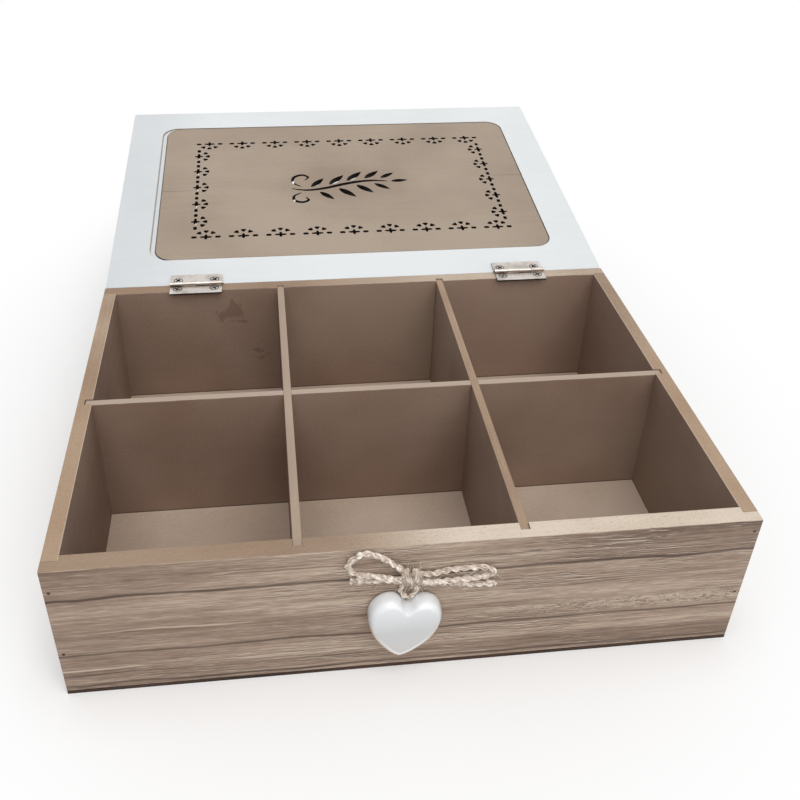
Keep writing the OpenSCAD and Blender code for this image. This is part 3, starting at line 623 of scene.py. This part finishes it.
def brad_material():
    """Dull, spotted steel."""
    m = Material("brad_steel", Metallic=0.85)
    spots = m.noise(m.place(), scale=1800, detail=3)
    colour = m.ramp(spots, (0.35, tone(52, 42, 36)), (0.7, tone(104, 90, 80)))
    return m.done(colour, m.fade(spots, 0.3, 0.7, 0.45, 0.7), spots, 0.05 * MM, 0.4)


# ---- glaze and jute ----
def glaze_material():
    """White glaze with painted light: brighter higher up and brightest where it faces up, with a painted
    reflection of the wood on its lower bevel under a painted highlight line.
    """
    m = Material("white_glaze", Coat_Weight=0.6, Coat_Roughness=0.2, Specular_IOR_Level=0.5)
    pools = m.noise(m.place(), scale=45, detail=1)
    low, high = (corner[2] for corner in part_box("heart_ornament"))
    # painted shade lower down and painted light higher up
    rise = m.calc("DIVIDE", m.minus(m.axes(m.place())[2], low), high - low)
    colour = m.ramp(m.total((rise, 0.9), (pools, 0.1)),
                    (0.16, tone(192, 191, 190)), (0.5, tone(190, 191, 192)), (0.86, tone(216, 219, 221)))
    ny, nz = m.axes(m.normal())[1:]
    # painted light on the faces that look up
    colour = m.blend(m.fade(nz, 0.1, 0.7), colour, tone(232, 235, 237))
    colour = m.blend(m.fade(nz, 0.65, 0.95), colour, tone(242, 245, 247))
    under = m.fade(nz, -0.15, -0.05, 1.0, 0.0)
    # painted reflection of the wood on the lower bevel
    lower_bevel_reflection = m.times(m.fade(ny, -0.985, -0.95), under)
    colour = m.blend(m.times(lower_bevel_reflection, 0.8), colour, tone(204, 186, 166))
    # painted highlight along the lower bevel's edge
    rim_highlight = m.times(m.near(ny, -0.984, 0.012), under)
    colour = m.blend(m.times(rim_highlight, 0.8), colour, tone(242, 243, 243))
    return m.done(colour, m.fade(pools, 0.3, 0.7, 0.2, 0.28), pools, 0.06 * MM, 0.15)


def jute_material():
    """Pale, hairy twine; its fibres follow the strands' own UV map."""
    m = Material("jute", Specular_IOR_Level=0.25, Sheen_Weight=0.25, Sheen_Roughness=0.5)
    fibres = m.noise(m.stretch(m.uv(), (420, 5, 1)), detail=4, roughness=0.65)
    patches = m.noise(m.place(), scale=420, detail=3)
    value = m.plus(m.times(fibres, 0.65), m.times(patches, 0.35))
    colour = m.ramp(value, (0.36, tone(122, 99, 83)), (0.46, tone(188, 169, 152)),
                    (0.58, tone(246, 238, 228)))
    return m.done(colour, m.fade(fibres, 0.3, 0.7, 0.65, 0.9), fibres, 0.15 * MM, 0.9)


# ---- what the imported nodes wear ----
def dress(node, material):
    """Gives a carried-over CAD node its material."""
    mesh = NODES[node].data
    mesh.materials.clear()
    mesh.materials.append(material)


side_low, side_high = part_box("left_side_panel")
side_seams = (("Y", side_low[1]), ("Y", side_high[1]))
dress("front_panel", wall_material("front_wood", "X", (0, -1, 0), (-45, 25, 0.93, 0.6)))
dress("back_panel", wall_material(
    "back_wood", "X", (0, 1, 0), (-40, 100, 0.7, 0.5), painted_light=(30 * MM, 60 * MM),
    smudges=((-62 * MM, 46 * MM, 17 * MM), (-50 * MM, 22 * MM, 12 * MM))))
dress("left_side_panel", wall_material(
    "left_wood", "Y", (-1, 0, 0), (-130, -120, 0.12, 0.0), side_seams))
dress("right_side_panel", wall_material(
    "right_wood", "Y", (1, 0, 0), (0, 100, 0.2, 0.0), side_seams, painted_light=(0, 25 * MM)))
dress("left_divider", divider_material("left_divider_wood", "Y", 0.5))
dress("right_divider", divider_material("right_divider_wood", "Y", 1.0))
dress("cross_divider", divider_material("cross_divider_wood", "X", 0.2))
dress("base_board", base_material())
dress("lid_frame", paint_material())
dress("lid_panel", panel_material())
for part, lean in (("box", 0.0), ("lid", LEAN)):
    for side in ("left", "right"):
        screws = f"{side}_hinge_{part}_screws"
        heads = list(screw_places(screws, lean))
        dress(f"{side}_hinge_{part}_leaf", nickel_material(f"{side}_{part}_leaf_metal", lean, heads))
        # painted shade in the driver crosses, below this depth
        painted_shade_below = top_of(screws, lean) - DRIVER_FLOOR
        dress(screws, nickel_material(f"{side}_{part}_screw_metal", lean, heads, painted_shade_below))
pin_metal = nickel_material("pin_metal")
for side in ("left", "right"):
    dress(f"{side}_hinge_pin", pin_metal)
for node in ("corner_brads", "base_brads"):
    dress(node, brad_material())


# ---- mesh helpers ----
def new_piece(name, vertices, faces, material, uvs=None):
    """A smooth-shaded object in the scene; uvs are one per vertex."""
    mesh = bpy.data.meshes.new(name)
    mesh.from_pydata([tuple(v) for v in vertices], [], faces)
    mesh.validate()
    mesh.update()
    for polygon in mesh.polygons:
        polygon.use_smooth = True
    if uvs:
        layer = mesh.uv_layers.new(name="strand")
        for loop in mesh.loops:
            layer.data[loop.index].uv = uvs[loop.vertex_index]
    mesh.materials.append(material)
    piece = bpy.data.objects.new(name, mesh)
    bpy.context.scene.collection.objects.link(piece)
    return piece


def spline(points, steps):
    """Smooth curve through the points, as part.scad draws it."""
    out = []
    last = len(points) - 1
    for i in range(last):
        a, b, c, d = points[max(i - 1, 0)], points[i], points[i + 1], points[min(i + 2, last)]
        for k in range(steps):
            t = k / steps
            out.append(0.5 * (2 * b + (c - a) * t + (2 * a - 5 * b + 4 * c - d) * t ** 2
                              + (3 * b - a - 3 * c + d) * t ** 3))
    return out + [points[-1]]


# How many steps a curve has between two of its points
STRAND_STEPS, OUTLINE_STEPS, RING_STEPS = 14, 5, 4


def walk(path):
    """For each point of a path: itself, two directions square to the path, and how far along it lies."""
    travelled = 0.0
    up = Vector((0.3, 1, 0.2))  # any direction that no path starts in
    for i, p in enumerate(path):
        way = (path[min(i + 1, len(path) - 1)] - path[max(i - 1, 0)]).normalized()
        up = (up - way * up.dot(way)).normalized()
        travelled += (p - path[i - 1]).length if i else 0
        yield p, up, way.cross(up), travelled


PLIES = 2
PLY_PITCH = 6.4 * MM  # length of one turn of the twine
PLY_SIDES, HAIR_SIDES = 9, 4
PLY_OFFSET, PLY_RADIUS = 0.44, 0.58  # as shares of the twine's radius
PLY_SWAY, PLY_SWELL = 900, 2300  # how fast a ply's winding and thickness vary, in radians per metre
SPLAY_LENGTH = 4 * MM  # how much of a loose end opens
# Places along a stray fibre, with the share of its thickness that is left there
HAIR_TAPER = ((0, 1), (0.3, 1), (0.6, 0.9), (0.8, 0.7), (1, 0.4))


class Strands:
    """Collects tubes into one mesh, with a UV map that runs along each of them."""

    def __init__(self):
        self.vertices, self.faces, self.uvs = [], [], []

    def tube(self, path, radii, sides):
        """A closed tube round a path, with one radius for each of the path's points."""
        first = len(self.vertices)
        for radius, (p, up, across, travelled) in zip(radii, walk(path)):
            for k in range(sides):
                angle = 2 * math.pi * k / sides
                self.vertices.append(p + radius * (math.cos(angle) * up + math.sin(angle) * across))
                self.uvs.append((travelled, 2 * min(k, sides - k) / sides))
        for i in range(len(path) - 1):
            for k in range(sides):
                a, b = first + i * sides + k, first + i * sides + (k + 1) % sides
                self.faces.append((a, a + sides, b + sides, b))
        self.faces.append([first + k for k in range(sides)])
        self.faces.append([first + (len(path) - 1) * sides + k for k in reversed(range(sides))])

    def twine(self, path, radius, splay, seed):
        """Twisted twine: plies that wind round the path and open at a splayed end."""
        rng = random.Random(seed)
        total = sum((b - a).length for a, b in zip(path, path[1:]))
        for ply in range(PLIES):
            centres, radii = [], []
            wobble = rng.random() * 6
            for p, up, across, travelled in walk(path):
                opened = (1 + splay[0] * max(0, 1 - travelled / SPLAY_LENGTH)
                          + splay[1] * max(0, 1 - (total - travelled) / SPLAY_LENGTH))
                turns = travelled / PLY_PITCH + ply / PLIES
                angle = 2 * math.pi * turns + 0.3 * math.sin(travelled * PLY_SWAY + wobble)
                reach = radius * PLY_OFFSET * opened
                centres.append(p + reach * (math.cos(angle) * up + math.sin(angle) * across))
                radii.append(radius * (PLY_RADIUS + 0.05 * math.sin(travelled * PLY_SWELL + wobble)))
            self.tube(centres, radii, PLY_SIDES)

    def fuzz(self, path, radius, count, seed):
        """Stray fibres that stand off the twine, kept in front of the wall and inside the model's box."""
        rng = random.Random(seed)
        nearest, furthest = front_y - 0.1 * MM, cad_box[0][1] + 0.1 * MM
        for _ in range(count):
            i = rng.randrange(1, len(path) - 1)
            way = (path[i + 1] - path[i - 1]).normalized()
            out = Vector((rng.uniform(-1, 1), rng.uniform(-1, 0.1), rng.uniform(-1, 1)))
            out = (out - way * out.dot(way)).normalized()
            onward = way * rng.choice((-1, 1)) * rng.uniform(0.8, 1.8)
            heading = (onward + out * rng.uniform(0.25, 0.9)).normalized()
            reach = rng.uniform(1.2, 4.2) * MM
            curl = Vector((rng.uniform(-1, 1), rng.uniform(-0.6, 0.2), rng.uniform(-1, 1))) * 0.45
            start = path[i] + out * radius * 0.85
            points = [start + heading * reach * t + curl * reach * t * t for t, _ in HAIR_TAPER]
            points = [Vector((p.x, min(max(p.y, furthest), nearest), p.z)) for p in points]
            thick = rng.uniform(0.035, 0.075) * MM
            self.tube(points, [thick * share for _, share in HAIR_TAPER], HAIR_SIDES)

    def piece(self, name, material):
        return new_piece(name, self.vertices, self.faces, material, self.uvs)


# ---- the bow: the same points as in part.scad ----
# In mm. Each point is x and z from the knot's middle, then how far it lies off the wall in twine diameters
TWINE_D = 2.2
KNOT_X, KNOT_Z = -1.4, 46.8
left_loop = [(-3, 3, 0.9), (-7.5, 7, 0.7), (-11, 9.5, 0.6), (-15, 11, 0.6), (-19, 9.5, 0.6),
             (-21, 6, 0.8), (-18.5, 3.5, 1.2), (-13, 2.5, 1.5), (-8, 1.5, 1.7), (-3.5, 0.5, 1.9)]
right_loop = [(4, 0.5, 1), (7.5, -0.5, 0.7), (12, 0.5, 0.6), (18, 1, 0.6), (24.5, 1, 0.7),
              (28, -0.5, 1), (25.5, -1.5, 1.4), (18, -2, 1.5), (10, -2, 1.7), (3.5, -1, 2)]
left_tail = [(-3.5, -2, 1), (-9, -1.5, 0.7), (-14, -1.5, 0.7), (-20, -1, 0.7)]
right_tail = [(3.5, -3, 1.1), (6, -4.5, 0.7), (10, -5, 0.6), (16, -6, 0.6), (22, -7, 0.6), (29.5, -7.5, 0.6)]
hanger = [(-1.5, -3.5, 0.6), (-3, -6, 0.6), (-3, -8.5, 0.6), (-1.5, -10.5, 0.6), (-0.5, -11, 0.6),
          (0.5, -10.5, 0.6), (2, -8.5, 0.6), (2.5, -6.5, 0.6), (1, -3.5, 0.6)]
# The knot's own turns, over the front of it, which part.scad doesn't have
knot_turns = [
    [(-1.6, 2.3, 0.6), (-1.3, 1.6, 1.5), (-0.6, 0, 1.95), (0.3, -1.6, 1.6), (0.9, -2.6, 0.7)],
    [(1.5, 2.4, 0.6), (1.3, 1.5, 1.35), (1.5, 0, 1.7), (1.2, -1.5, 1.4), (-0.6, -2.5, 0.7)],
    [(-3, -1.2, 1.0), (-1.8, -0.6, 1.35), (0, 0.3, 1.3), (1.8, 1, 1.2), (3, 1.7, 0.9)],
    [(-3, 0.9, 1.0), (-1.6, 0.4, 1.2), (0, -0.4, 1.2), (1.8, -1.0, 1.2), (3, -1.7, 1.0)],
]


def route(points, tuck):
    """A strand's path in metres; tuck lengthens its first end into the knot, by that many mm."""
    def where(x, z, out):
        return Vector(((KNOT_X + x) * MM, front_y - out * TWINE_D * MM, wall_z + (KNOT_Z + z) * MM))
    way = [where(*p) for p in points]
    if tuck:
        way = [way[0] + (way[0] - way[1]).normalized() * tuck * MM] + way
    return spline(way, STRAND_STEPS)


# Each piece: the nodes it stands for, its strands with the splay of their two ends, how many stray fibres
# a strand has, how far its first end is tucked into the knot in mm, and its thickness as a share of TWINE_D
BOW = {
    "bow_loops": (("twine_loops",), [(left_loop, (0, 0)), (right_loop, (0, 0))], 60, 1.5, 1.0),
    "bow_tails": (("twine_tails",), [(left_tail, (0, 0.7)), (right_tail, (0, 0.7))], 34, 1.5, 1.0),
    "heart_hanger": (("twine_hanger",), [(hanger, (0, 0))], 18, 0, 0.8),
    "bow_knot": (("twine_knot",), [(turn, (0, 0)) for turn in knot_turns], 26, 0, 1.0),
}


def make_bow():
    """The twine's bow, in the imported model's own pieces: loops, tails, hanger and knot."""
    jute = jute_material()
    radius = TWINE_D * MM / 2
    for name, (stands_for, runs, hairs, tuck, thickness) in BOW.items():
        strands = Strands()
        for index, (points, splay) in enumerate(runs):
            path = route(points, tuck)
            seed = 17 * index + len(name)
            strands.twine(path, radius * thickness, splay, seed)
            strands.fuzz(path, radius, hairs, seed + 5)
        piece = strands.piece(name, jute)
        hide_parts(*stands_for)
        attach(piece, "box")


# ---- the heart ----
HEART_W, HEART_H, HEART_T = 25.4, 26.8, 7.5  # mm
HEART_X, HEART_Z = -3.5, 24.5  # its middle in mm, up from the walls' foot
HEART_TURN = math.radians(7)  # how far it hangs askew
# The right half of its outline, as shares of its width and height
heart_half = [(0, 0.345), (0.05, 0.385), (0.13, 0.465), (0.235, 0.5), (0.35, 0.465), (0.445, 0.37),
              (0.495, 0.24), (0.49, 0.09), (0.435, -0.08), (0.335, -0.235), (0.2, -0.375),
              (0.09, -0.46), (0, -0.5)]
# From the back to the face: the outline's scale, and the share of the thickness
heart_rings = [(0.94, 0), (1, 0.14), (1, 0.46), (0.98, 0.68), (0.92, 0.86), (0.82, 0.945), (0.5, 0.99),
               (0.2, 1)]


def make_heart():
    """The glazed heart: a flat back, a bevelled edge and a domed face, from rings of one outline."""
    half = spline([Vector((x, 0, z)) for x, z in heart_half], OUTLINE_STEPS)
    outline = half + [Vector((-p.x, 0, p.z)) for p in reversed(half[1:-1])]
    rings = spline([Vector((s, t, 0)) for s, t in heart_rings], RING_STEPS)
    count = len(outline)
    vertices = [Vector((HEART_W * p.x * r.x, -HEART_T * min(r.y, 1.0), HEART_H * p.z * r.x))
                for r in rings for p in outline]
    sides = [(i, (i + 1) % count) for i in range(count)]
    top = (len(rings) - 1) * count
    faces = [(low + i, low + k, low + count + k, low + count + i)
             for low in range(0, top, count) for i, k in sides]
    face_middle, back_middle = len(vertices), len(vertices) + 1
    vertices += [Vector((0, -HEART_T, 0)), Vector((0, 0, 0))]
    faces += [(top + i, top + k, face_middle) for i, k in sides]
    faces += [(k, i, back_middle) for i, k in sides]
    turn = Matrix.Rotation(HEART_TURN, 4, "Y")
    at = Vector((HEART_X * MM, front_y, wall_z + HEART_Z * MM))
    heart = new_piece("glazed_heart", [at + turn @ (v * MM) for v in vertices], faces, glaze_material())
    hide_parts("heart_ornament")
    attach(heart, "box")


# ---- floor, light and camera ----
def make_floor():
    """A plain pale floor; to the camera it is whiter away from the box, and keeps the box's shade."""
    half = 6.0  # metres
    corners = [(-half, -half, 0), (half, -half, 0), (half, half, 0), (-half, half, 0)]
    mesh = bpy.data.meshes.new("floor")
    mesh.from_pydata(corners, [], [(0, 1, 2, 3)])
    floor = bpy.data.objects.new("floor", mesh)
    floor.location.z = -0.1 * MM  # just clear of the base board
    bpy.context.scene.collection.objects.link(floor)
    m = Material("floor_white", Base_Color=(0.96, 0.96, 0.96, 1), Roughness=1.0, Specular_IOR_Level=0.0)
    x, y = m.axes(m.place())[:2]
    lid_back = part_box("lid_frame")[1][1]
    middle_y, half_y = (front_y + lid_back) / 2, (lid_back - front_y) / 2
    off_y = m.minus(y, middle_y)
    away = m.oval(x, off_y, 1.7 * side_x, 1.5 * half_y)
    rays = m.nodes.new("ShaderNodeLightPath")
    seen = m.calc("MAXIMUM", rays.outputs["Is Camera Ray"], rays.outputs["Is Glossy Ray"])
    # none under the box and the lid, so what shows through the pierced panel stays dark
    past = past_edge(m, x, off_y, side_x, half_y, 10 * MM)
    share = m.times(m.fade(away, 0.35, 1.35, 0.1, 1.0), m.fade(past, 0.0, 25 * MM))
    share = m.times(share, seen)
    glow = m.nodes.new("ShaderNodeEmission")
    mix = m.nodes.new("ShaderNodeMixShader")
    output = next(n for n in m.nodes if n.type == "OUTPUT_MATERIAL")
    m.link(share, mix.inputs[0])
    m.link(m.shader.outputs["BSDF"], mix.inputs[1])
    m.link(glow.outputs[0], mix.inputs[2])
    m.link(mix.outputs[0], output.inputs["Surface"])
    mesh.materials.append(m.data)


def make_light():
    """A soft studio: an even world that the camera and gloss see as white, and two very broad lamps."""
    scene = bpy.context.scene
    world = bpy.data.worlds.new("studio")
    world.use_nodes = True
    scene.world = world
    nodes, links = world.node_tree.nodes, world.node_tree.links
    nodes.clear()
    output = nodes.new("ShaderNodeOutputWorld")
    soft = nodes.new("ShaderNodeBackground")
    soft.inputs["Color"].default_value = (0.97, 0.98, 1.0, 1)
    soft.inputs["Strength"].default_value = 0.62
    white = nodes.new("ShaderNodeBackground")
    white.inputs["Color"].default_value = (1, 1, 1, 1)
    mix = nodes.new("ShaderNodeMixShader")
    rays = nodes.new("ShaderNodeLightPath")
    seen = nodes.new("ShaderNodeMath")
    seen.operation = "MAXIMUM"
    links.new(rays.outputs["Is Camera Ray"], seen.inputs[0])
    links.new(rays.outputs["Is Glossy Ray"], seen.inputs[1])
    links.new(seen.outputs[0], mix.inputs[0])
    links.new(soft.outputs[0], mix.inputs[1])
    links.new(white.outputs[0], mix.inputs[2])
    links.new(mix.outputs[0], output.inputs["Surface"])

    def sun(name, power, spread, tilt, turn):
        lamp = bpy.data.lights.new(name, "SUN")
        lamp.energy = power
        lamp.angle = math.radians(spread)
        lamp.color = (1.0, 0.985, 0.96)
        item = bpy.data.objects.new(name, lamp)
        item.rotation_euler = (math.radians(tilt), 0, math.radians(turn))
        scene.collection.objects.link(item)

    sun("key", power=1.35, spread=50, tilt=34, turn=8)
    sun("fill", power=0.35, spread=70, tilt=58, turn=30)


def make_camera():
    """The photo's camera, from a fit to points of the box read off the photo: place in mm, angles in
    radians.
    """
    at = Vector((-43.2, -303.6, 286.3)) * MM
    tilt, roll, turn = 0.5827, 0.0202, 0.1174
    focal_pixels, centre_x, centre_y, width = 939.7, 375.7, 337.0, 800
    to_view = Matrix.Rotation(tilt, 3, "X") @ Matrix.Rotation(roll, 3, "Y") @ Matrix.Rotation(turn, 3, "Z")
    right, forward, up = to_view
    pose = Matrix((right, up, -forward)).transposed()
    lens = bpy.data.cameras.new("camera")
    sensor = 36
    lens.sensor_width = sensor
    lens.lens = focal_pixels / width * sensor
    lens.shift_x = (width / 2 - centre_x) / width
    lens.shift_y = (centre_y - width / 2) / width
    lens.clip_start = 0.01
    camera = bpy.data.objects.new("camera", lens)
    camera.matrix_world = Matrix.Translation(at) @ pose.to_4x4()
    bpy.context.scene.collection.objects.link(camera)
    bpy.context.scene.camera = camera


make_bow()
make_heart()
make_floor()
make_light()
make_camera()
bpy.context.scene.view_settings.view_transform = "Standard"
